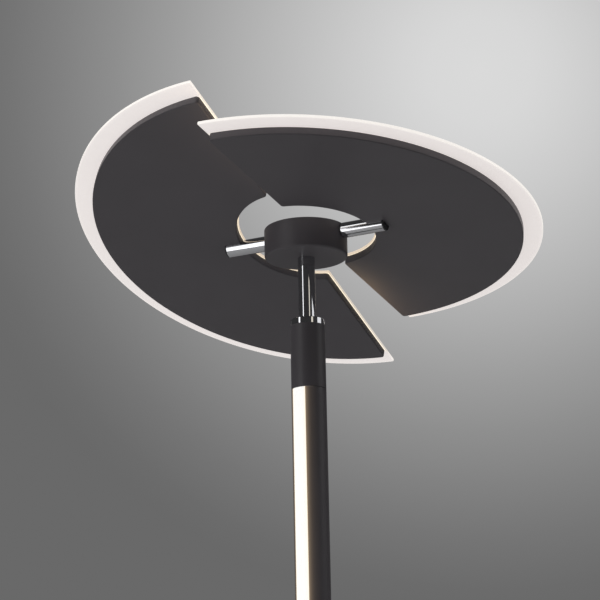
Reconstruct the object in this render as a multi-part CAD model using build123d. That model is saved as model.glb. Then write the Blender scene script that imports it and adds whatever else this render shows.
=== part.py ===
from build123d import *

import os
from math import asin, cos, degrees, radians, sin

# Floor lamp with a weighted disc base, a round pole with a light strip let into it, and a head
# of two half-ring light panels. Each panel hangs on its own chrome arm and tilts in the hub.
# Millimetres. The origin is the centre of the base's underside, +Z is up, the arms lie along X
# and the front of the lamp is -Y.

# ---- driving dimensions -----------------------------------------------------------------------

FIT = 0.05                      # radial clearance of a turning, sliding or plug fit
GAP = 0.3                       # free gap between neighbours that never touch

# head: half-ring panels, measured level with the tilt axis
AXIS_HEIGHT = 1780.0            # the arms' tilt axis above the floor
LEFT_TILT = -20.9               # resting tilt of the left panel about +X, degrees
RIGHT_TILT = -8.4               # resting tilt of the right panel
PLATE_RADIUS = 250.0            # opal plate, outer edge
PLATE_HOLE_RADIUS = 73.2
PLATE_HALF_GAP = 8.2            # straight edge of the plate to the middle plane
PLATE_THICKNESS = 3.0
PLATE_CORNER = 1.0
TRAY_RADIUS = 229.5             # metal tray under the plate
TRAY_HOLE_RADIUS = 74.5
TRAY_HALF_GAP = 9.5
TRAY_FLOOR = -0.7               # tray underside from the tilt axis
TRAY_DEPTH = 7.9
TRAY_WALL = 1.0
TRAY_CORNER = 3.5               # plan corners of the tray
TRAY_EDGE = 1.2                 # rounded bottom edge of the tray
RIM_WIDTH = 6.0                 # inward rim that carries the plate
TAPE_THICKNESS = 0.5

# light-emitting diode boards in the trays
BOARD_INSET = 9.0
BOARD_THICKNESS = 1.6
LED_SIZE = (2.8, 3.5, 0.8)
LED_ROWS = (100.0, 128.0, 156.0, 184.0, 212.0)
LED_SPACING = 26.0

# arms and their fixing in the trays
ARM_RADIUS = 8.25
ARM_WALL = 1.3
ARM_END = 92.0                  # outer end of the arm tube from the middle plane
ARM_CAP = 1.5
ARM_FLAT = 6.6                  # flat milled on the arm where it lies under the plate
ARM_FLAT_START = 72.4
BRACKET_HALF_WIDTH = 22.0
BRACKET_END = 100.0
BRACKET_THICKNESS = 1.5
STUD_RADIUS = 1.5
STUD_PLACES = ((79.5, 17.0), (95.0, 17.0), (79.5, -17.0), (95.0, -17.0))
STUD_NUT = (5.5, 2.4)           # across flats, height

# tilt joint of an arm in the hub
NIPPLE_RADIUS = 5.0             # hollow threaded rod that holds an arm in the hub
NIPPLE_BORE = 3.5
NIPPLE_INNER_END = 31.0
NIPPLE_OUTER_END = 58.0
WASHER_THICKNESS = 0.5
INNER_WASHER = (6.0, 0.8)       # radius, thickness
LOCK_NUT = (6.0, 4.0)
BOSS_FACE = 38.5                # flat inside face of the hub wall at an arm

# hub
HUB_RADIUS = 43.9
HUB_TOP = 8.3                   # hub top above the tilt axis
HUB_BOTTOM = -23.7              # hub underside from the tilt axis
HUB_WALL = 2.0
HUB_FLOOR = 2.5
HUB_EDGE = 2.6                  # rounded bottom edge of the hub
HUB_LIP = 1.7                   # rounded top edge of the hub
LID_THICKNESS = 1.6
LID_RADIUS = 41.6
LID_BOSS = (37.0, 3.0)          # distance from the axis, radius
LID_BOSS_ANGLES = (90.0, 210.0, 330.0)
DRIVER_RADIUS = 33.0
DRIVER_HOLE = 12.0
DRIVER_STANDOFF = 3.5
DRIVER_THICKNESS = 1.6

# stem and pole
STEM_RADIUS = 9.0
STEM_WALL = 1.2
STEM_THREAD_LENGTH = 16.0
POLE_RADIUS = 18.2
POLE_WALL = 1.5
RING_TOP = 1688.0
RING_HEIGHT = 6.5
RING_SPIGOT = 12.0
SLEEVE_BOTTOM = 1613.5          # joint between the plain sleeve and the lit section
JOINT_GAP = 0.5
LIT_BOTTOM = 1060.0             # joint between the lit section and the lower pole
JOINER_HALF_LENGTH = 22.0

# light strip in the pole
STRIP_HEADING = -12.5           # turn of the strip from the front, degrees about +Z
STRIP_WIDTH = 16.2
STRIP_BOTTOM = 1100.0
STRIP_LED_PITCH = 16.0
CARRIER_FRONT = -13.2           # front and back of the strip's carrier, facing -Y
CARRIER_BACK = -9.2
CARRIER_SHEET = 1.4
CARRIER_HALF_WIDTH = 9.0
STRIP_BOARD_THICKNESS = 1.0

# push buttons under the lit section
BUTTON_HEIGHTS = {"head_button": 1012.0, "pole_button": 988.0}
BUTTON_RADIUS = 4.6
BUTTON_FLANGE = 6.0
BUTTON_TRAVEL = 1.2
BUTTON_PROUD = 1.4
BUTTON_BACK = -13.8             # back of a button at rest, facing -Y
SWITCH_BOARD_FACE = -7.8

# base
BASE_RADIUS = 140.0
PAD_RADIUS = 134.0
PAD_THICKNESS = 2.0
WEIGHT_RADIUS = 136.0
COVER_SHEET = 1.2
COVER_TOP = 17.0
COVER_EDGE = 6.0
STUD_ROD_RADIUS = 6.0
RECESS_RADIUS = 16.0
RECESS_TOP = 10.0
INLET_HEIGHT = 7.0
INLET_BORE = 3.2

# heights that follow
POLE_BORE = POLE_RADIUS - POLE_WALL
SPIGOT_RADIUS = POLE_BORE - FIT
HUB_BOTTOM_Z = AXIS_HEIGHT + HUB_BOTTOM
HUB_TOP_Z = AXIS_HEIGHT + HUB_TOP
HUB_FLOOR_Z = HUB_BOTTOM_Z + HUB_FLOOR
LID_UNDERSIDE = HUB_TOP_Z - LID_THICKNESS
DRIVER_Z = HUB_FLOOR_Z + DRIVER_STANDOFF
DRIVER_TOP = DRIVER_Z + DRIVER_THICKNESS
PLATE_LEVEL = TRAY_FLOOR + TRAY_DEPTH
FLOOR_TOP = TRAY_FLOOR + TRAY_WALL
BRACKET_TOP = FLOOR_TOP + BRACKET_THICKNESS
BOARD_TOP = FLOOR_TOP + BOARD_THICKNESS
LEAD_RADIUS = 1.3
LEAD_LEVEL = BRACKET_TOP + LEAD_RADIUS + GAP
LEAD_EXIT = 87.0                # where the lead leaves the arm tube sideways
LEAD_START = 28.5
TERMINAL_START = 109.0
ARM_START = HUB_RADIUS + WASHER_THICKNESS + 2 * FIT
HOLDER_LOW = min(BUTTON_HEIGHTS.values()) - 20
HOLDER_HIGH = max(BUTTON_HEIGHTS.values()) + 18


# ---- helpers ----------------------------------------------------------------------------------

def upright(radius, low, high, x=0.0, y=0.0):
    """Cylinder from z low to z high."""
    return Pos(x, y, (low + high) / 2) * Cylinder(radius, high - low)


def tube(outer, inner, low, high, x=0.0, y=0.0):
    return upright(outer, low, high, x, y) - upright(inner, low - 1, high + 1, x, y)


def block(low, high):
    """Box between two opposite corners."""
    size = [b - a for a, b in zip(low, high)]
    middle = [(a + b) / 2 for a, b in zip(low, high)]
    return Pos(*middle) * Box(*size)


def bar_x(radius, start, end, y=0.0, z=0.0):
    """Cylinder along X from start to end."""
    return Pos((start + end) / 2, y, z) * Rot(0, 90, 0) * Cylinder(radius, end - start)


def bar_y(radius, start, end, x=0.0, z=0.0):
    """Cylinder along Y from start to end."""
    return Pos(x, (start + end) / 2, z) * Rot(90, 0, 0) * Cylinder(radius, end - start)


def hex_nut(across_flats, bore, low, high, x=0.0, y=0.0):
    flats = RegularPolygon(across_flats / 2, 6, major_radius=False)
    body = Pos(x, y, low) * extrude(flats, amount=high - low)
    return body - upright(bore, low - 1, high + 1, x, y)


def raised(face, low, high):
    return Pos(0, 0, low) * extrude(face, amount=high - low)


def half_ring(outer, inner, half_gap, corner):
    """Plan of a panel on the +X side: half of a ring, cut off at its straight edge."""
    ring = Circle(outer) - Circle(inner)
    side = Pos(half_gap + outer, 0) * Rectangle(2 * outer, 4 * outer)
    outline = (ring & side).face()
    return fillet(outline.vertices(), corner)


def inset_half_ring(inset, corner):
    """The tray's plan, drawn in from its outline on every side."""
    return half_ring(TRAY_RADIUS - inset, TRAY_HOLE_RADIUS + inset, TRAY_HALF_GAP + inset, corner)


def wire(points, radii, radius):
    """Round lead along straight runs joined by arcs."""
    path = FilletPolyline(*points, radius=radii)
    start = Plane(origin=path @ 0, z_dir=path % 0)
    return sweep(start * Circle(radius), path=path)


def group(solids):
    return Compound(children=list(solids))


# ---- panel pieces, level and on the +X side, with the tilt axis along X through the origin -----

def make_tray():
    """Pressed metal tray with an inward rim. The arm's end is let into its floor and inner wall,
    and four weld studs hold the arm's bracket."""
    rim_top = PLATE_LEVEL - TAPE_THICKNESS
    cavity = inset_half_ring(TRAY_WALL, TRAY_CORNER - TRAY_WALL)
    mouth = inset_half_ring(TRAY_WALL + RIM_WIDTH, TRAY_CORNER)
    tray = raised(inset_half_ring(0, TRAY_CORNER), TRAY_FLOOR, PLATE_LEVEL)
    tray = fillet(tray.edges().group_by(Axis.Z)[0], TRAY_EDGE)
    tray -= raised(cavity, FLOOR_TOP, rim_top - TRAY_WALL)
    tray -= raised(mouth, FLOOR_TOP, TRAY_DEPTH)
    tray -= raised(cavity, rim_top, TRAY_DEPTH)
    tray -= bar_x(ARM_RADIUS + FIT, TRAY_HOLE_RADIUS - 5, ARM_END + ARM_CAP + GAP)
    for x, y in STUD_PLACES:
        tray += upright(STUD_RADIUS, FLOOR_TOP - 0.5, BRACKET_TOP + 3.4, x, y)
    return tray


def make_tape():
    """Foam tape on the tray's rim that bonds the plate."""
    outside = inset_half_ring(TRAY_WALL + GAP, TRAY_CORNER)
    inside = inset_half_ring(TRAY_WALL + RIM_WIDTH - GAP, TRAY_CORNER)
    tape = raised(outside, PLATE_LEVEL - TAPE_THICKNESS, PLATE_LEVEL)
    tape -= raised(inside, 0, TRAY_DEPTH)
    return tape - block((TRAY_HOLE_RADIUS - 5, -6, 0), (TRAY_HOLE_RADIUS + 10, 6, TRAY_DEPTH))


def make_plate():
    """Opal plate over the tray, wider than the tray all round."""
    outline = half_ring(PLATE_RADIUS, PLATE_HOLE_RADIUS, PLATE_HALF_GAP, PLATE_CORNER)
    plate = raised(outline, PLATE_LEVEL, PLATE_LEVEL + PLATE_THICKNESS)
    rims = plate.edges().group_by(Axis.Z)
    return chamfer(rims[0] + rims[-1], 0.25)


def make_led_board():
    """Aluminium-core board on the tray floor with its lead terminal, cut clear of the bracket."""
    board = raised(inset_half_ring(BOARD_INSET, TRAY_CORNER), FLOOR_TOP, BOARD_TOP)
    clear = BRACKET_HALF_WIDTH + 1
    board -= block((0, -clear, -5), (BRACKET_END + 1, clear, TRAY_DEPTH))
    terminal = block((TERMINAL_START, 18, BOARD_TOP - 0.1), (TERMINAL_START + 8, 28, BOARD_TOP + 3.5))
    return board + terminal


def make_leds():
    """Diodes in half-circle rows on the board."""
    led = Pos(0, 0, BOARD_TOP + FIT + LED_SIZE[2] / 2) * Box(*LED_SIZE)
    leds = []
    for row in LED_ROWS:
        cut_off = degrees(asin((TRAY_HALF_GAP + BOARD_INSET + 4) / row))
        span = 180 - 2 * cut_off
        count = int(radians(span) * row / LED_SPACING)
        for index in range(count):
            angle = -90 + cut_off + span * (index + 0.5) / count
            x = row * cos(radians(angle))
            y = row * sin(radians(angle))
            if x > BRACKET_END + 20 or abs(y) > BRACKET_HALF_WIDTH + 10:
                leds.append(Pos(x, y, 0) * Rot(0, 0, angle) * led)
    return group(leds)


def arm_flat():
    """What is milled off the top of the arm's end."""
    return block((ARM_FLAT_START, -ARM_RADIUS, ARM_FLAT), (ARM_END + 5, ARM_RADIUS, ARM_RADIUS + 1))


def make_arm():
    """Chrome tube with a threaded inner end and a side hole for the lead."""
    arm = bar_x(ARM_RADIUS, ARM_START, ARM_END)
    arm = chamfer(arm.edges().group_by(Axis.X)[-1], 0.3)
    arm -= bar_x(ARM_RADIUS - ARM_WALL, NIPPLE_OUTER_END, ARM_END + 1)
    arm -= bar_x(NIPPLE_RADIUS, ARM_START - 1, NIPPLE_OUTER_END + 1)
    arm -= arm_flat()
    return arm - bar_y(LEAD_RADIUS + GAP, 0, ARM_RADIUS + 1, LEAD_EXIT, LEAD_LEVEL)


def make_arm_cap():
    """Black cap plugged into the arm's outer end."""
    cap = bar_x(ARM_RADIUS - 0.2, ARM_END, ARM_END + ARM_CAP)
    cap = chamfer(cap.edges().group_by(Axis.X)[-1], 0.4)
    cap += bar_x(ARM_RADIUS - ARM_WALL - FIT, ARM_END - 1.5, ARM_END + 0.5)
    return cap - arm_flat()


def make_bracket():
    """Steel plate brazed to the arm and held on the tray floor by four nuts."""
    bracket = block((TRAY_HOLE_RADIUS + TRAY_WALL + 1, -BRACKET_HALF_WIDTH, FLOOR_TOP),
                    (BRACKET_END, BRACKET_HALF_WIDTH, BRACKET_TOP))
    bracket -= bar_x(ARM_RADIUS + FIT, 70, ARM_END + ARM_CAP + GAP)
    for x, y in STUD_PLACES:
        bracket -= upright(STUD_RADIUS + 0.15, 0, TRAY_DEPTH, x, y)
    return bracket


def make_bracket_nuts():
    flats, height = STUD_NUT
    high = BRACKET_TOP + height
    return group(hex_nut(flats, STUD_RADIUS, BRACKET_TOP, high, x, y) for x, y in STUD_PLACES)


def make_nipple():
    """Hollow threaded rod from the arm through the hub wall."""
    rod = bar_x(NIPPLE_RADIUS, NIPPLE_INNER_END, NIPPLE_OUTER_END)
    rod = chamfer(rod.edges().group_by(Axis.X)[0], 0.5)
    return rod - bar_x(NIPPLE_BORE, NIPPLE_INNER_END - 1, NIPPLE_OUTER_END + 1)


def make_washers():
    """Friction washers outside and inside the hub wall."""
    radius, thickness = INNER_WASHER
    outer = bar_x(ARM_RADIUS - 0.4, HUB_RADIUS + FIT, ARM_START)
    inner = bar_x(radius, BOSS_FACE - thickness, BOSS_FACE)
    bore = bar_x(NIPPLE_RADIUS, NIPPLE_INNER_END, ARM_START + 1)
    return group([outer - bore, inner - bore])


def make_lock_nut():
    """Round nut with two key slots that sets the tilt friction."""
    radius, height = LOCK_NUT
    outer_face = BOSS_FACE - INNER_WASHER[1]
    nut = bar_x(radius, outer_face - height, outer_face)
    nut -= bar_x(NIPPLE_RADIUS, outer_face - height - 1, outer_face + 1)
    slot = block((outer_face - height - 1, -radius - 1, -0.6), (outer_face - height + 1.2, radius + 1, 0.6))
    return nut - slot


def make_lead():
    """Two-core lead from the hub along the arm and out onto the board."""
    points = [(LEAD_START, 0, 0), (LEAD_EXIT - 10, 0, 0), (LEAD_EXIT, 2.5, LEAD_LEVEL),
              (LEAD_EXIT, 23, LEAD_LEVEL), (TERMINAL_START, 23, LEAD_LEVEL)]
    return wire(points, [4.0, 2.6, 4.0], LEAD_RADIUS)


PANEL_PIECES = {
    "tray": make_tray,
    "plate_tape": make_tape,
    "opal_plate": make_plate,
    "led_board": make_led_board,
    "leds": make_leds,
    "arm": make_arm,
    "arm_cap": make_arm_cap,
    "arm_bracket": make_bracket,
    "bracket_nuts": make_bracket_nuts,
    "tilt_nipple": make_nipple,
    "tilt_washers": make_washers,
    "lock_nut": make_lock_nut,
    "lead": make_lead,
}


def panel_nodes():
    """Both panels: the level pieces, mirrored for the left side and tilted to rest."""
    nodes = {}
    for name, make in PANEL_PIECES.items():
        level = make()
        nodes["right_" + name] = Pos(0, 0, AXIS_HEIGHT) * Rot(RIGHT_TILT, 0, 0) * level
        mirrored = mirror(level, about=Plane.YZ)
        nodes["left_" + name] = Pos(0, 0, AXIS_HEIGHT) * Rot(LEFT_TILT, 0, 0) * mirrored
    return nodes


# ---- hub --------------------------------------------------------------------------------------

def at_angle(distance, angle):
    return distance * cos(radians(angle)), distance * sin(radians(angle))


def make_hub_housing():
    """Round cup with bosses for the lid and the driver, and flats inside at the two arms."""
    cup = upright(HUB_RADIUS, HUB_BOTTOM_Z, HUB_TOP_Z)
    cup = fillet(cup.edges().group_by(Axis.Z)[0], HUB_EDGE)
    cup = fillet(cup.edges().group_by(Axis.Z)[-1], HUB_LIP)
    cup -= upright(HUB_RADIUS - HUB_WALL, HUB_FLOOR_Z, HUB_TOP_Z + 1)
    reach, radius = LID_BOSS
    for angle in LID_BOSS_ANGLES:
        x, y = at_angle(reach, angle)
        cup += upright(radius, HUB_FLOOR_Z - 0.5, LID_UNDERSIDE, x, y)
        cup -= upright(1.25, LID_UNDERSIDE - 9, LID_UNDERSIDE + 1, x, y)
    for angle in (45, 165, 285):
        x, y = at_angle(26, angle)
        cup += upright(2.5, HUB_FLOOR_Z - 0.5, DRIVER_Z, x, y)
    for side in (-1, 1):
        ends = sorted((side * BOSS_FACE, side * (HUB_RADIUS - HUB_WALL + 0.5)))
        cup += block((ends[0], -9, AXIS_HEIGHT - 8), (ends[1], 9, LID_UNDERSIDE))
    cup -= bar_x(NIPPLE_RADIUS + FIT, -HUB_RADIUS - 1, HUB_RADIUS + 1, z=AXIS_HEIGHT)
    return cup - upright(NIPPLE_RADIUS + FIT, HUB_BOTTOM_Z - 1, HUB_FLOOR_Z + 1)


def make_hub_lid():
    lid = upright(LID_RADIUS, LID_UNDERSIDE, HUB_TOP_Z)
    lid = chamfer(lid.edges().group_by(Axis.Z)[-1], 0.3)
    for angle in LID_BOSS_ANGLES:
        x, y = at_angle(LID_BOSS[0], angle)
        lid -= upright(1.7, LID_UNDERSIDE - 1, HUB_TOP_Z + 1, x, y)
    return lid


def make_lid_screws():
    """Pan-head screws through the lid into its bosses."""
    screws = []
    for angle in LID_BOSS_ANGLES:
        x, y = at_angle(LID_BOSS[0], angle)
        head = upright(2.8, HUB_TOP_Z, HUB_TOP_Z + 1.3, x, y)
        head = fillet(head.edges().group_by(Axis.Z)[-1], 0.6)
        shank = upright(1.25, HUB_TOP_Z - 8, HUB_TOP_Z + 0.2, x, y)
        recess = block((x - 1.3, y - 0.3, HUB_TOP_Z + 0.6), (x + 1.3, y + 0.3, HUB_TOP_Z + 2))
        screws.append(head + shank - recess - Pos(x, y, 0) * Rot(0, 0, 90) * Pos(-x, -y, 0) * recess)
    return group(screws)


def make_driver_board():
    return tube(DRIVER_RADIUS, DRIVER_HOLE, DRIVER_Z, DRIVER_TOP)


def make_driver_parts():
    """Transformer, capacitors, choke and terminals standing on the driver board."""
    transformer = block((-8, 15, DRIVER_TOP), (8, 29, DRIVER_TOP + 11))
    capacitor = upright(4.0, DRIVER_TOP, DRIVER_TOP + 10, -17, -17)
    small_capacitor = upright(3.0, DRIVER_TOP, DRIVER_TOP + 8, -24, -8)
    choke = upright(4.5, DRIVER_TOP, DRIVER_TOP + 8, 16, -18)
    mains_terminal = block((-5, -24, DRIVER_TOP), (5, -14, DRIVER_TOP + 5.5))
    lead_terminals = [block((side * 19 - 4, 5, DRIVER_TOP), (side * 19 + 4, 12, DRIVER_TOP + 6))
                      for side in (-1, 1)]
    return group([transformer, capacitor, small_capacitor, choke, mains_terminal] + lead_terminals)


def pole_lead():
    """Lead from the dimmer board up the pole to the driver in the hub."""
    top = DRIVER_TOP + 10
    points = [(0, 0, HOLDER_HIGH), (0, 0, top), (0, -19, top), (0, -19, DRIVER_TOP + 5.5)]
    return wire(points, [4.0, 2.5], 2.0)


def make_driver_leads():
    """Leads from the driver's terminals up to the arms' axis, and the lead up the pole."""
    leads = []
    for side in (-1, 1):
        x = side * 17
        points = [(x, 8, DRIVER_TOP + 6), (x, 8, AXIS_HEIGHT - 1), (x + side * 4, 0, AXIS_HEIGHT),
                  (side * (LEAD_START - GAP), 0, AXIS_HEIGHT)]
        leads.append(wire(points, [2.5, 2.5], LEAD_RADIUS))
    return group(leads + [pole_lead()])


def make_hub_nipple():
    """Hollow threaded rod that bolts the hub onto the stem."""
    return tube(NIPPLE_RADIUS, NIPPLE_BORE, HUB_BOTTOM_Z - STEM_THREAD_LENGTH, HUB_FLOOR_Z + 7)


def make_hub_washer():
    return tube(9.0, NIPPLE_RADIUS + FIT, HUB_FLOOR_Z, HUB_FLOOR_Z + 1.2)


def make_hub_nut():
    return hex_nut(17.0, NIPPLE_RADIUS, HUB_FLOOR_Z + 1.2, HUB_FLOOR_Z + 6.2)


# ---- stem and pole ----------------------------------------------------------------------------

def headed(shape):
    """Turn a piece made facing -Y to the light strip's heading."""
    return Rot(0, 0, STRIP_HEADING) * shape


def make_stem():
    """Chrome tube from the pole ring up to the hub, threaded inside at its top."""
    thread_bottom = HUB_BOTTOM_Z - STEM_THREAD_LENGTH
    stem = upright(STEM_RADIUS, RING_TOP - RING_HEIGHT - RING_SPIGOT - 4, HUB_BOTTOM_Z)
    stem -= upright(STEM_RADIUS - STEM_WALL, RING_TOP - 40, thread_bottom)
    return stem - upright(NIPPLE_RADIUS, thread_bottom - 1, HUB_BOTTOM_Z + 1)


def make_pole_ring():
    """Chrome ring that closes the pole's top, with a spigot into the sleeve."""
    seat = RING_TOP - RING_HEIGHT
    ring = upright(POLE_RADIUS, seat, RING_TOP)
    ring = chamfer(ring.edges().group_by(Axis.Z)[-1], 0.6)
    ring += upright(SPIGOT_RADIUS, seat - RING_SPIGOT, seat + 1)
    ring -= upright(STEM_RADIUS + FIT, seat - RING_SPIGOT - 1, RING_TOP + 1)
    return ring - headed(bar_y(2.0, -POLE_RADIUS, -STEM_RADIUS, z=seat - RING_SPIGOT / 2))


def make_stem_set_screw():
    """Grub screw in the ring's spigot that grips the stem."""
    height = RING_TOP - RING_HEIGHT - RING_SPIGOT / 2
    screw = bar_y(2.0, -POLE_BORE + 0.4, -STEM_RADIUS - FIT, z=height)
    socket = bar_y(1.0, -POLE_BORE, -POLE_BORE + 2.4, z=height)
    return headed(screw - socket)


def make_top_sleeve():
    return tube(POLE_RADIUS, POLE_BORE, SLEEVE_BOTTOM, RING_TOP - RING_HEIGHT)


def make_sleeve_joiner():
    """Plug that joins the sleeve to the lit section, cut back behind the strip's carrier."""
    joiner = upright(SPIGOT_RADIUS, SLEEVE_BOTTOM - JOINER_HALF_LENGTH, SLEEVE_BOTTOM + JOINER_HALF_LENGTH)
    joiner -= upright(5.5, SLEEVE_BOTTOM - 50, SLEEVE_BOTTOM + 50)
    clear = block((-20, -20, SLEEVE_BOTTOM - 50), (20, CARRIER_BACK + GAP, SLEEVE_BOTTOM))
    return joiner - headed(clear)


def strip_span():
    """Lowest and highest point of the pieces behind the strip."""
    return STRIP_BOTTOM - 6, SLEEVE_BOTTOM - JOINT_GAP - 1


def make_lit_pole():
    """Pole section with a slot for the light strip, open at its top."""
    pole = tube(POLE_RADIUS, POLE_BORE, LIT_BOTTOM, SLEEVE_BOTTOM - JOINT_GAP)
    half = STRIP_WIDTH / 2
    slot = block((-half, -POLE_RADIUS - 1, STRIP_BOTTOM), (half, CARRIER_BACK, SLEEVE_BOTTOM + 1))
    return pole - headed(slot)


def make_strip_cover():
    """Opal strip that fills the slot flush with the pole."""
    half = STRIP_WIDTH / 2 - FIT
    low = STRIP_BOTTOM + FIT
    high = SLEEVE_BOTTOM - JOINT_GAP
    wall = tube(POLE_RADIUS, POLE_BORE - 0.6, low, high)
    return headed(wall & block((-half, -POLE_RADIUS - 1, low), (half, CARRIER_BACK, high)))


def make_strip_carrier():
    """Aluminium channel behind the slot."""
    low, high = strip_span()
    outer = block((-CARRIER_HALF_WIDTH, CARRIER_FRONT, low), (CARRIER_HALF_WIDTH, CARRIER_BACK, high))
    inner_half = CARRIER_HALF_WIDTH - 1.0
    floor = CARRIER_BACK - CARRIER_SHEET
    channel = block((-inner_half, CARRIER_FRONT - 1, low - 1), (inner_half, floor, high + 1))
    return headed(outer - channel)


def make_strip_board():
    low, high = strip_span()
    back = CARRIER_BACK - CARRIER_SHEET
    return headed(block((-5, back - STRIP_BOARD_THICKNESS, low + 2), (5, back, high - 2)))


def make_strip_leds():
    low, high = strip_span()
    face = CARRIER_BACK - CARRIER_SHEET - STRIP_BOARD_THICKNESS
    count = int((high - low - 8) / STRIP_LED_PITCH)
    first = (low + high - (count - 1) * STRIP_LED_PITCH) / 2
    led = Pos(0, face - 0.5 - FIT, 0) * Box(5, 1, 5)
    return headed(group(Pos(0, 0, first + index * STRIP_LED_PITCH) * led for index in range(count)))


def make_pole_joiner():
    """Threaded joiner between the lower pole and the lit section."""
    return tube(SPIGOT_RADIUS, 7.0, LIT_BOTTOM - JOINER_HALF_LENGTH, LIT_BOTTOM + JOINER_HALF_LENGTH)


def make_lower_pole():
    """Plain pole section with two holes for the buttons."""
    pole = tube(POLE_RADIUS, POLE_BORE, COVER_TOP, LIT_BOTTOM - JOINT_GAP)
    for height in BUTTON_HEIGHTS.values():
        pole -= headed(bar_y(BUTTON_RADIUS + 0.2, -POLE_RADIUS - 2, -POLE_BORE + 3, z=height))
    return pole


def make_button(height):
    """Push button with a flange that keeps it in the pole."""
    cap = bar_y(BUTTON_RADIUS, -POLE_RADIUS - BUTTON_PROUD, BUTTON_BACK, z=height)
    cap = fillet(cap.edges().group_by(Axis.Y)[0], 0.7)
    return headed(cap + bar_y(BUTTON_FLANGE, BUTTON_BACK - 1.0, BUTTON_BACK, z=height))


def make_button_holder():
    """Moulded holder that guides the buttons and carries the switch board on two ribs."""
    shell = upright(SPIGOT_RADIUS, HOLDER_LOW, HOLDER_HIGH)
    face = block((-8, -POLE_RADIUS, HOLDER_LOW), (8, BUTTON_BACK + 1.3, HOLDER_HIGH))
    holder = shell & face
    for x in (-7.2, 7.2):
        holder += block((x - 0.8, BUTTON_BACK, HOLDER_LOW), (x + 0.8, SWITCH_BOARD_FACE, HOLDER_HIGH))
    for height in BUTTON_HEIGHTS.values():
        holder -= bar_y(BUTTON_RADIUS + FIT, -POLE_RADIUS, BUTTON_BACK, z=height)
        holder -= bar_y(BUTTON_FLANGE + FIT, BUTTON_BACK - 1.0 - FIT, BUTTON_BACK + 2, z=height)
    return headed(holder)


def make_switch_board():
    """Dimmer board with the terminal for the lead up the pole."""
    board = block((-7.5, SWITCH_BOARD_FACE, HOLDER_LOW), (7.5, SWITCH_BOARD_FACE + 1.6, HOLDER_HIGH))
    terminal = block((-5, SWITCH_BOARD_FACE + 1.5, HOLDER_HIGH - 10), (5, 3, HOLDER_HIGH))
    return headed(board + terminal)


def make_tact_switches():
    depth = (BUTTON_BACK + BUTTON_TRAVEL + 0.2, SWITCH_BOARD_FACE - FIT)
    return headed(group(block((-3, depth[0], height - 3), (3, depth[1], height + 3))
                        for height in BUTTON_HEIGHTS.values()))


# ---- base -------------------------------------------------------------------------------------

def make_base_pad():
    """Non-slip disc glued under the weight, over the nut's recess and the cord's groove."""
    return upright(PAD_RADIUS, 0, PAD_THICKNESS)


def make_base_weight():
    """Cast disc with a recess for the nut, a groove for the cord and a pocket at the inlet."""
    top = COVER_TOP - COVER_SHEET
    weight = upright(WEIGHT_RADIUS, PAD_THICKNESS, top)
    weight = chamfer(weight.edges().group_by(Axis.Z)[-1], 4.0)
    weight -= upright(RECESS_RADIUS, 0, RECESS_TOP)
    weight -= upright(STUD_ROD_RADIUS + 0.2, 0, COVER_TOP)
    weight -= block((-4, 0, 0), (4, BASE_RADIUS, RECESS_TOP + 1))
    return weight - block((-7, 126, 0), (7, BASE_RADIUS, top - 2))


def make_base_cover():
    """Spun steel cover over the weight."""
    cover = upright(BASE_RADIUS, PAD_THICKNESS, COVER_TOP)
    cover = fillet(cover.edges().group_by(Axis.Z)[-1], COVER_EDGE)
    inside = upright(BASE_RADIUS - COVER_SHEET, 0, COVER_TOP - COVER_SHEET)
    inside = fillet(inside.edges().group_by(Axis.Z)[-1], COVER_EDGE - COVER_SHEET)
    cover -= inside
    cover -= upright(STUD_ROD_RADIUS + 0.2, 0, COVER_TOP + 1)
    return cover - bar_y(4.55, BASE_RADIUS - 10, BASE_RADIUS + 1, z=INLET_HEIGHT)


def make_cord_grommet():
    """Rubber bush snapped into the cover for the mains cord."""
    flange = 5.0
    inner_face = BASE_RADIUS - COVER_SHEET - 0.2
    body = bar_y(4.5, inner_face - 2, BASE_RADIUS + 2, z=INLET_HEIGHT)
    outer_flange = bar_y(flange, BASE_RADIUS, BASE_RADIUS + 2, z=INLET_HEIGHT)
    outer_flange = fillet(outer_flange.edges().group_by(Axis.Y)[-1], 0.8)
    inner_flange = bar_y(flange, inner_face - 2, inner_face, z=INLET_HEIGHT)
    bore = bar_y(INLET_BORE, inner_face - 3, BASE_RADIUS + 3, z=INLET_HEIGHT)
    return body + outer_flange + inner_flange - bore


def make_base_rod():
    """Hollow threaded rod that clamps the pole, cover and weight together."""
    return tube(STUD_ROD_RADIUS, 4.0, PAD_THICKNESS + 1, COVER_TOP + 26)


def make_base_washer():
    return tube(14.0, STUD_ROD_RADIUS, RECESS_TOP - 1.5, RECESS_TOP)


def make_base_nut():
    return hex_nut(19.0, STUD_ROD_RADIUS, RECESS_TOP - 6.5, RECESS_TOP - 1.5)


def make_pole_foot():
    """Threaded plug pressed into the pole's lower end."""
    return tube(SPIGOT_RADIUS, STUD_ROD_RADIUS, COVER_TOP, COVER_TOP + 30)


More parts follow.
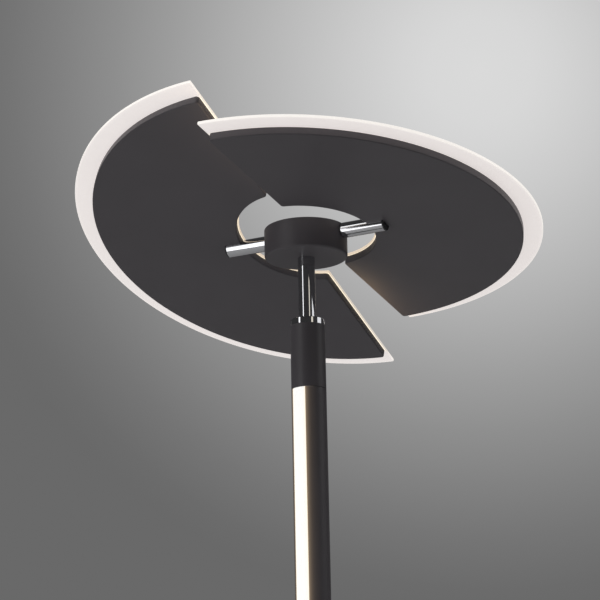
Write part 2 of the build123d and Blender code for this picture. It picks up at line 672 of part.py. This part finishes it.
STAND_PIECES = {
    "base_pad": make_base_pad,
    "base_weight": make_base_weight,
    "base_cover": make_base_cover,
    "cord_grommet": make_cord_grommet,
    "base_rod": make_base_rod,
    "base_washer": make_base_washer,
    "base_nut": make_base_nut,
    "pole_foot": make_pole_foot,
    "lower_pole": make_lower_pole,
    "button_holder": make_button_holder,
    "switch_board": make_switch_board,
    "tact_switches": make_tact_switches,
    "pole_joiner": make_pole_joiner,
    "lit_pole": make_lit_pole,
    "strip_carrier": make_strip_carrier,
    "strip_board": make_strip_board,
    "strip_leds": make_strip_leds,
    "strip_cover": make_strip_cover,
    "sleeve_joiner": make_sleeve_joiner,
    "top_sleeve": make_top_sleeve,
    "pole_ring": make_pole_ring,
    "stem_set_screw": make_stem_set_screw,
    "stem": make_stem,
    "hub_housing": make_hub_housing,
    "hub_nipple": make_hub_nipple,
    "hub_washer": make_hub_washer,
    "hub_nut": make_hub_nut,
    "hub_lid": make_hub_lid,
    "lid_screws": make_lid_screws,
    "driver_board": make_driver_board,
    "driver_parts": make_driver_parts,
    "driver_leads": make_driver_leads,
}


def all_nodes():
    nodes = {name: make() for name, make in STAND_PIECES.items()}
    for name, height in BUTTON_HEIGHTS.items():
        nodes[name] = make_button(height)
    nodes.update(panel_nodes())
    return nodes


os.makedirs("parts", exist_ok=True)
for node, shape in all_nodes().items():
    export_step(shape, "parts/" + node + ".step")
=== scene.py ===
import math

import bpy
from mathutils import Matrix, Vector


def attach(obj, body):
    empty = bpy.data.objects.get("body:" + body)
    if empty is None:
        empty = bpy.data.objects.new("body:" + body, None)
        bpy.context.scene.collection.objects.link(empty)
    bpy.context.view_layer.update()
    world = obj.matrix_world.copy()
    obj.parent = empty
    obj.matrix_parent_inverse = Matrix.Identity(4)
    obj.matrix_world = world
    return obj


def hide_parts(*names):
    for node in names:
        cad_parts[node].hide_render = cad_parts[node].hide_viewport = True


# Looks of a floor lamp with two half-ring light panels, built around its CAD frame. Metres.

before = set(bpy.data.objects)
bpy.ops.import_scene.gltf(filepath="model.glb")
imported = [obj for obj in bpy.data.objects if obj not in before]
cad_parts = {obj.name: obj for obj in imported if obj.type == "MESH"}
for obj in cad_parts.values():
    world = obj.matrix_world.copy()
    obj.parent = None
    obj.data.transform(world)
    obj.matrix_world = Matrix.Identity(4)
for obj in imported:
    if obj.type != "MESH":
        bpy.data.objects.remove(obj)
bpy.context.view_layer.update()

MM = 0.001
AXIS = 1.780                        # height of the panels' tilt axis
TILTS = {"left": -20.9, "right": -8.4}          # resting tilts of the panels, degrees
STRIP_HEADING = math.radians(-12.5)             # the light strip's turn from the front
STRIP_HALF = 8.05 * MM              # half the light strip's width
STRIP_FOOT = 1.100                  # lower end of the light strip
PLATE_RADIUS = 249.8 * MM           # opal plate: outer edge, hole, half gap between the panels,
PLATE_HOLE = 73.25 * MM             # plan corner radius, underside above the tilt axis, thickness
PLATE_GAP = 8.25 * MM
PLATE_CORNER = 1.0 * MM
PLATE_LOW = 7.2 * MM
PLATE_THICK = 2.95 * MM
FLOOR_RADIUS = 5.0
FLOOR_SIDES = 128


# ---- node materials ---------------------------------------------------------------------------

class Finish:
    """A Principled material whose colour, roughness and bump come from procedural textures."""

    def __init__(self, name):
        self.material = bpy.data.materials.new(name)
        self.material.use_nodes = True
        self.tree = self.material.node_tree
        self.tree.nodes.clear()
        self.shader = self.node("BsdfPrincipled")
        output = self.node("OutputMaterial")
        self.tree.links.new(self.shader.outputs[0], output.inputs["Surface"])
        self.place = self.node("TexCoord").outputs["Object"]

    def node(self, kind, inputs=None, **settings):
        made = self.tree.nodes.new("ShaderNode" + kind)
        for key, value in settings.items():
            setattr(made, key, value)
        for key, value in (inputs or {}).items():
            if isinstance(value, bpy.types.NodeSocket):
                self.tree.links.new(value, made.inputs[key])
            else:
                made.inputs[key].default_value = value
        return made

    def set(self, **values):
        """Shader sockets by name, with underscores for spaces: plain values or links."""
        for key, value in values.items():
            socket = self.shader.inputs[key.replace("_", " ")]
            if isinstance(value, bpy.types.NodeSocket):
                self.tree.links.new(value, socket)
            else:
                socket.default_value = value
        return self

    def math(self, operation, first, second=0.0):
        return self.node("Math", {0: first, 1: second}, operation=operation).outputs[0]

    def noise(self, scale, detail=3.0, rough=0.5, stretch=(1, 1, 1)):
        place = self.node("Mapping", {"Vector": self.place, "Scale": stretch}).outputs[0]
        texture = self.node("TexNoise", {"Vector": place, "Scale": scale, "Detail": detail,
                                         "Roughness": rough})
        return texture.outputs[0]

    def ramp(self, factor, *stops):
        """Colour along a factor, from (position, colour) stops."""
        made = self.node("ValToRGB", {"Fac": factor})
        elements = made.color_ramp.elements
        while len(elements) < len(stops):
            elements.new(0.5)
        for element, (position, colour) in zip(elements, stops):
            element.position = position
            element.color = (*colour, 1.0)
        return made.outputs[0]

    def span(self, factor, low, high, start=0.3, end=0.7):
        """A number that runs from low to high as the factor runs from start to end."""
        made = self.node("MapRange", {"Value": factor, "From Min": start, "From Max": end,
                                      "To Min": low, "To Max": high})
        return made.outputs[0]

    def bump(self, height, distance):
        made = self.node("Bump", {"Height": height, "Distance": distance, "Strength": 1.0})
        return self.set(Normal=made.outputs[0])


def shade(colour, factor):
    return tuple(channel * factor for channel in colour)


COAT_COLOUR = (0.088, 0.080, 0.089)
COAT_ROUGH = 0.44
COAT_GRAIN = 2600.0


def coat(name):
    """Powder coat: fine orange peel, faint cloudiness and specks of rougher grain."""
    made = Finish(name)
    cloud = made.noise(14.0, 4.0)
    speck = made.noise(COAT_GRAIN * 2.6, 2.0, 0.6)
    tint = made.ramp(cloud, (0.3, shade(COAT_COLOUR, 0.95)), (0.7, shade(COAT_COLOUR, 1.05)))
    fleck = made.ramp(speck, (0.35, (0.93, 0.93, 0.93)), (0.75, (1.1, 1.1, 1.1)))
    mixed = made.node("Mix", {0: 1.0, 6: tint, 7: fleck}, data_type="RGBA", blend_type="MULTIPLY")
    made.set(Base_Color=mixed.outputs[2], Roughness=made.span(speck, COAT_ROUGH - 0.05, COAT_ROUGH + 0.07))
    return made.bump(made.noise(COAT_GRAIN, 2.0), 0.06 * MM)


def polished(name, colour, rough, wave):
    """Plated metal: near-mirror with faint haze and the slight waviness of a polished tube."""
    made = Finish(name)
    cloud = made.noise(40.0, 3.0)
    made.set(Base_Color=made.ramp(cloud, (0.3, shade(colour, 0.97)), (0.7, colour)),
             Roughness=made.span(cloud, rough, rough * 1.8), Metallic=1.0)
    return made.bump(made.noise(60.0, 1.0), wave)


def metal(name, colour, rough, stretch=(1, 1, 1)):
    """Turned, drawn or plated steel and aluminium with fine lines."""
    made = Finish(name)
    lines = made.noise(900.0, 3.0, 0.6, stretch)
    cloud = made.noise(50.0, 3.0)
    made.set(Base_Color=made.ramp(cloud, (0.3, shade(colour, 0.88)), (0.7, colour)),
             Roughness=made.span(lines, rough - 0.07, rough + 0.1), Metallic=1.0)
    return made.bump(lines, 0.00003)


def moulded(name, colour, rough, grain=1400.0, depth=0.00003, spread=0.08, specular=0.5):
    """Plastic, rubber, foam or casting: fine grain and slight mottling."""
    made = Finish(name)
    cloud = made.noise(60.0, 3.0)
    fine = made.noise(grain, 2.0)
    tint = made.ramp(cloud, (0.3, shade(colour, 1 - spread)), (0.7, shade(colour, 1 + spread)))
    made.set(Base_Color=tint, Roughness=made.span(fine, rough - 0.06, rough + 0.06),
             Specular_IOR_Level=specular)
    return made.bump(fine, depth)


def strip_side(made):
    """Distance from the light strip's middle plane, distance along its facing, and height."""
    split = made.node("SeparateXYZ", {0: made.place})
    x, y = split.outputs[0], split.outputs[1]
    cos, sin = math.cos(STRIP_HEADING), math.sin(STRIP_HEADING)
    across = made.math("ADD", made.math("MULTIPLY", x, cos), made.math("MULTIPLY", y, sin))
    facing = made.math("SUBTRACT", made.math("MULTIPLY", y, cos), made.math("MULTIPLY", x, sin))
    return made.math("ABSOLUTE", across), facing, split.outputs[2]


def lit_coat():
    """The pole's powder coat with the warm light that spills beside the light strip."""
    made = coat("dark_coat_lit")
    across, facing, height = strip_side(made)
    beside = made.math("MAXIMUM", made.math("SUBTRACT", across, STRIP_HALF), 0.0)
    below = made.math("MAXIMUM", made.math("SUBTRACT", STRIP_FOOT, height), 0.0)
    fall = made.math("EXPONENT", made.math("DIVIDE", made.math("ADD", beside, below), -2.0 * MM))
    front = made.span(facing, 1.0, 0.0, -9 * MM, -6 * MM)
    glow = made.ramp(made.math("MULTIPLY", fall, front), (0.0, (0, 0, 0)), (1.0, (0.27, 0.195, 0.12)))
    return made.set(Emission_Color=glow, Emission_Strength=1.0)


def strip_opal():
    """Lit opal strip, whitest in the middle and creamier where it meets the pole."""
    made = Finish("opal_strip")
    across = strip_side(made)[0]
    cloud = made.noise(30.0, 3.0)
    light = made.ramp(made.math("DIVIDE", across, STRIP_HALF),
                      (0.0, (0.70, 0.70, 0.695)), (0.80, (0.72, 0.715, 0.69)), (1.0, (0.92, 0.80, 0.60)))
    made.set(Base_Color=made.ramp(cloud, (0.3, (0.72, 0.70, 0.66)), (0.7, (0.78, 0.76, 0.72))),
             Roughness=made.span(cloud, 0.32, 0.42), Emission_Color=light, Emission_Strength=1.0)
    return made.bump(made.noise(1500.0, 2.0), 0.00002)


def plate_opal(part):
    """Lit opal plate. The rim that overhangs the tray is paler than the part over the lights."""
    made = Finish("opal_" + part)
    split = made.node("SeparateXYZ", {0: made.place})
    flat = made.node("CombineXYZ", {0: split.outputs[0], 1: split.outputs[1]}).outputs[0]
    radius = made.node("VectorMath", {0: flat}, operation="LENGTH").outputs["Value"]
    share = made.math("DIVIDE", radius, 0.250)      # 0.250 m: the head's nominal radius
    cloud = made.noise(26.0, 3.0)
    stops = {
        "under": [(0.28, (1.0, 0.84, 0.62)), (0.34, (1.3, 1.12, 0.82)), (0.90, (1.3, 1.16, 0.92)),
                  (0.918, (0.66, 0.61, 0.59)), (0.93, (0.62, 0.575, 0.56)), (0.985, (0.62, 0.575, 0.56)),
                  (1.0, (0.68, 0.635, 0.61))],
        "edge": [(0.28, (0.62, 0.48, 0.34)), (0.34, (0.60, 0.52, 0.42)), (0.90, (0.62, 0.56, 0.49)),
                 (0.96, (0.74, 0.69, 0.66)), (1.0, (0.78, 0.74, 0.70))],
        "top": [(0.0, (0.66, 0.60, 0.50)), (0.28, (0.60, 0.52, 0.42)), (0.40, (0.66, 0.60, 0.50)),
                (0.85, (0.66, 0.60, 0.50)), (0.93, (0.50, 0.46, 0.41)), (1.0, (0.44, 0.41, 0.38))],
    }[part]
    light = made.ramp(share, *stops)
    made.set(Base_Color=made.ramp(cloud, (0.3, (0.50, 0.49, 0.48)), (0.7, (0.55, 0.54, 0.53))),
             Roughness=made.span(cloud, 0.30, 0.40), Emission_Color=light, Emission_Strength=1.0)
    return made.bump(made.noise(1800.0, 2.0), 0.000015)


plates = {part: plate_opal(part) for part in ("under", "edge", "top")}
finishes = {
    "dark_coat": coat("dark_coat"),
    "dark_coat_lit": lit_coat(),
    "chrome": polished("chrome", (0.58, 0.58, 0.60), 0.035, 0.00002),
    "opal_acrylic": plates["top"],
    "opal_strip": strip_opal(),
    "white_board": moulded("white_board", (0.72, 0.72, 0.70), 0.35),
    "green_board": moulded("green_board", (0.03, 0.16, 0.07), 0.35),
    "led_phosphor": moulded("led_phosphor", (0.85, 0.66, 0.18), 0.45),
    "component_black": moulded("component_black", (0.03, 0.03, 0.032), 0.45),
    "foam_tape": moulded("foam_tape", (0.62, 0.61, 0.58), 0.85, 700.0, 0.0001),
    "black_plastic": moulded("black_plastic", (0.022, 0.022, 0.024), 0.42),
    "button_plastic": moulded("button_plastic", (0.05, 0.05, 0.053), 0.36, 1800.0),
    "black_nylon": moulded("black_nylon", (0.03, 0.03, 0.03), 0.5),
    "rubber_pad": moulded("rubber_pad", (0.028, 0.027, 0.027), 0.8, 900.0, 0.0001, 0.12, 0.3),
    "rubber_grommet": moulded("rubber_grommet", (0.025, 0.025, 0.026), 0.7, 1200.0, 0.00004, 0.1, 0.3),
    "cast_weight": moulded("cast_weight", (0.09, 0.085, 0.08), 0.75, 380.0, 0.0004, 0.2, 0.4),
    "aluminium_profile": metal("aluminium_profile", (0.72, 0.73, 0.74), 0.35, (1, 1, 0.03)),
    "turned_aluminium": metal("turned_aluminium", (0.70, 0.71, 0.72), 0.3, (0.1, 0.1, 1)),
    "lead_sheath": moulded("lead_sheath", (0.75, 0.74, 0.72), 0.5),
    "zinc_steel": metal("zinc_steel", (0.62, 0.63, 0.62), 0.35),
}
for name, node in sorted(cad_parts.items()):
    for slot in node.material_slots:
        slot.material = finishes["dark_coat_lit" if name == "lit_pole" else slot.material.name].material


# ---- meshes -----------------------------------------------------------------------------------

def piece(name, verts, faces, materials, slots=None):
    """Mesh object from points and faces, with a material slot number for each face."""
    mesh = bpy.data.meshes.new(name)
    mesh.from_pydata([tuple(v) for v in verts], [], faces)
    for finish in materials:
        mesh.materials.append(finish.material)
    for polygon, slot in zip(mesh.polygons, slots or [0] * len(faces)):
        polygon.material_index = slot
        polygon.use_smooth = True
    made = bpy.data.objects.new(name, mesh)
    bpy.context.scene.collection.objects.link(made)
    return made


def arc(radius, start, end, steps, centre=(0.0, 0.0)):
    """Points along an arc, both ends included."""
    angles = [start + (end - start) * i / steps for i in range(steps + 1)]
    return [(centre[0] + radius * math.cos(a), centre[1] + radius * math.sin(a)) for a in angles]


def half_ring(outer, inner, gap, corner):
    """Plan of a panel on the +X side with rounded corners, as points in order."""
    far = math.sqrt((outer - corner) ** 2 - (gap + corner) ** 2)
    near = math.sqrt((inner + corner) ** 2 - (gap + corner) ** 2)
    top_out = math.atan2(far, gap + corner)
    top_in = math.atan2(near, gap + corner)
    points = arc(outer, -top_out, top_out, 180)
    points += arc(corner, top_out, math.pi, 6, (gap + corner, far))[1:]
    points += arc(corner, math.pi, math.pi + top_in, 6, (gap + corner, near))
    points += arc(inner, top_in, -top_in, 90)[1:]
    points += arc(corner, math.pi - top_in, math.pi, 6, (gap + corner, -near))[1:]
    points += arc(corner, math.pi, 2 * math.pi - top_out, 6, (gap + corner, -far))
    return points[:-1]


def panel_place(side):
    """Place of a panel's own frame: the tilt axis, turned by the panel's resting tilt."""
    return Matrix.Translation((0, 0, AXIS)) @ Matrix.Rotation(math.radians(TILTS[side]), 4, "X")


def diffuser(side):
    """Opal plate with softened edges: paler overhanging rim below, lit face above."""
    soft, steps = 0.4 * MM, 3
    turns = [math.pi / 2 * i / steps for i in range(steps + 1)]
    levels = [(soft * (1 - math.sin(t)), PLATE_LOW + soft * (1 - math.cos(t))) for t in turns]
    high = PLATE_LOW + PLATE_THICK
    levels += [(soft * (1 - math.cos(t)), high - soft * (1 - math.sin(t))) for t in turns]
    verts, rings = [], []
    for inset, z in levels:
        plan = half_ring(PLATE_RADIUS - inset, PLATE_HOLE + inset, PLATE_GAP + inset, PLATE_CORNER - inset)
        rings.append(range(len(verts), len(verts) + len(plan)))
        verts += [(x, y, z) for x, y in plan]
    faces, slots = [list(reversed(rings[0])), list(rings[-1])], [0, 2]
    for below, above in zip(rings, rings[1:]):
        for i in range(len(below)):
            j = (i + 1) % len(below)
            faces.append((below[i], below[j], above[j], above[i]))
            slots.append(1)
    made = piece(side + "_diffuser", verts, faces, [plates["under"], plates["edge"], plates["top"]], slots)
    for polygon in made.data.polygons[:2]:
        polygon.use_smooth = False
    if side == "left":
        made.data.transform(Matrix.Scale(-1, 4, (1, 0, 0)))
        made.data.flip_normals()
    made.matrix_world = panel_place(side)
    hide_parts(side + "_opal_plate")
    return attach(made, side + "_panel")


for side in TILTS:
    diffuser(side)


# ---- studio -----------------------------------------------------------------------------------

VIEW = {"turn": 0.4663, "pitch": 0.2836, "roll": -0.0197}      # radians
VIEW_PLACE = (0.9434, -1.8908, 1.0947)
VIEW_LENS = 125.8
camera_data = bpy.data.cameras.new("camera")
camera_data.lens = VIEW_LENS
camera = bpy.data.objects.new("camera", camera_data)
bpy.context.scene.collection.objects.link(camera)
aim = (Matrix.Rotation(VIEW["turn"], 4, "Z") @ Matrix.Rotation(math.pi / 2 + VIEW["pitch"], 4, "X")
       @ Matrix.Rotation(VIEW["roll"], 4, "Z"))
camera.matrix_world = Matrix.Translation(VIEW_PLACE) @ aim
bpy.context.scene.camera = camera
bpy.context.scene.view_settings.view_transform = "Standard"


def area_light(name, size, power, colour, place, mirrored=True):
    """Rectangular soft light that the camera doesn't see, and reflections show if it is mirrored."""
    data = bpy.data.lights.new(name, "AREA")
    data.shape = "RECTANGLE"
    data.size, data.size_y = size
    data.energy = power
    data.color = colour
    light = bpy.data.objects.new(name, data)
    light.visible_camera = False
    light.visible_glossy = mirrored
    bpy.context.scene.collection.objects.link(light)
    light.matrix_world = place
    return light


def studio_light(name, bearing, distance, height, size, power, target, colour=(1, 1, 1), mirrored=True):
    """Soft light that stands to the right of the camera by a bearing in degrees, aimed at a height."""
    turn = VIEW["turn"] + math.radians(bearing)
    spot = Vector((distance * math.sin(turn), -distance * math.cos(turn), height))
    facing = (Vector((0, 0, target)) - spot).to_track_quat("-Z", "Y").to_matrix().to_4x4()
    area_light(name, size, power, colour, Matrix.Translation(spot) @ facing, mirrored)


studio_light("key_left", -54.7, 2.2, 1.75, (0.40, 3.0), 7.6, 1.7)
studio_light("wide_left", -80, 2.6, 1.9, (2.6, 2.6), 13.0, 1.6, mirrored=False)
studio_light("card_right", 31, 2.5, 2.46, (0.5, 0.5), 0.9, 1.7, (1.0, 0.93, 0.78))
studio_light("edge_right", 85, 1.7, 2.1, (0.95, 0.6), 2.2, 1.8)
area_light("overhead", (12.0, 12.0), 270.0, (1, 1, 1), Matrix.Translation((0, 0.8, 6.0)), mirrored=False)

# warm light that each lit plate throws on its neighbour, from just above the plate
for side, x, y, power in (("left", -42, 155, 0.07), ("right", 42, -155, 0.03)):
    place = (panel_place(side) @ Matrix.Translation((x * MM, y * MM, 12 * MM))
             @ Matrix.Rotation(math.pi, 4, "X"))
    lamp = area_light(side + "_uplight", (0.066, 0.155), power, (1.0, 0.62, 0.28), place)
    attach(lamp, side + "_panel")

floor_finish = moulded("pale_floor", (0.70, 0.70, 0.70), 0.6, 300.0, 0.0001, 0.02, 0.3)
floor_edge = arc(FLOOR_RADIUS, 0.0, 2 * math.pi, FLOOR_SIDES)[:-1]
floor = piece("floor", [(x, y, 0.0) for x, y in floor_edge], [range(FLOOR_SIDES)], [floor_finish])
floor.location.z = -0.5 * MM


def backdrop(centre, seen, reflected):
    """Radial backdrop around a direction. The camera sees the first list of (degrees, grey) stops, a
    painted pool of light that is brightest at its centre, and the object is lit by and reflects the
    second."""
    world = bpy.data.worlds.new("studio")
    bpy.context.scene.world = world
    world.use_nodes = True
    nodes, link = world.node_tree.nodes, world.node_tree.links.new
    dot = nodes.new("ShaderNodeVectorMath")
    dot.operation = "DOT_PRODUCT"
    dot.inputs[1].default_value = centre
    link(nodes.new("ShaderNodeTexCoord").outputs["Generated"], dot.inputs[0])
    angle = nodes.new("ShaderNodeMath")
    angle.operation = "ARCCOSINE"
    link(dot.outputs["Value"], angle.inputs[0])
    share = nodes.new("ShaderNodeMath")
    share.operation = "DIVIDE"
    share.inputs[1].default_value = math.pi
    link(angle.outputs[0], share.inputs[0])
    choose = nodes.new("ShaderNodeMix")
    choose.data_type = "RGBA"
    link(nodes.new("ShaderNodeLightPath").outputs["Is Camera Ray"], choose.inputs[0])
    for stops, socket in ((reflected, choose.inputs[6]), (seen, choose.inputs[7])):
        ramp = nodes.new("ShaderNodeValToRGB")
        elements = ramp.color_ramp.elements
        while len(elements) < len(stops):
            elements.new(0.5)
        for element, (degrees, grey) in zip(elements, stops):
            element.position = degrees / 180
            element.color = (grey, grey, grey, 1)
        link(share.outputs[0], ramp.inputs[0])
        link(ramp.outputs[0], socket)
    link(choose.outputs[2], nodes["Background"].inputs["Color"])


BACKDROP_CENTRE = (0.0858, 0.1097, -1.0)       # in the camera's own axes
# painted pool of light on the backdrop that the camera sees: brightest at the centre, dim grey within 15
# degrees
BACKDROP_SEEN_PAINTED_POOL = [(0.0, 0.70), (1.64, 0.68), (3.28, 0.604), (6.56, 0.429), (8.2, 0.342), (9.84, 0.271),
                 (11.5, 0.212), (12.8, 0.174), (14.4, 0.141), (30, 0.141), (80, 0.22), (180, 0.30)]
BACKDROP_REFLECTED = [(0.0, 0.50), (8.0, 0.34), (20.0, 0.12), (50.0, 0.05), (180.0, 0.04)]
backdrop(aim.to_3x3() @ Vector(BACKDROP_CENTRE).normalized(), BACKDROP_SEEN_PAINTED_POOL, BACKDROP_REFLECTED)
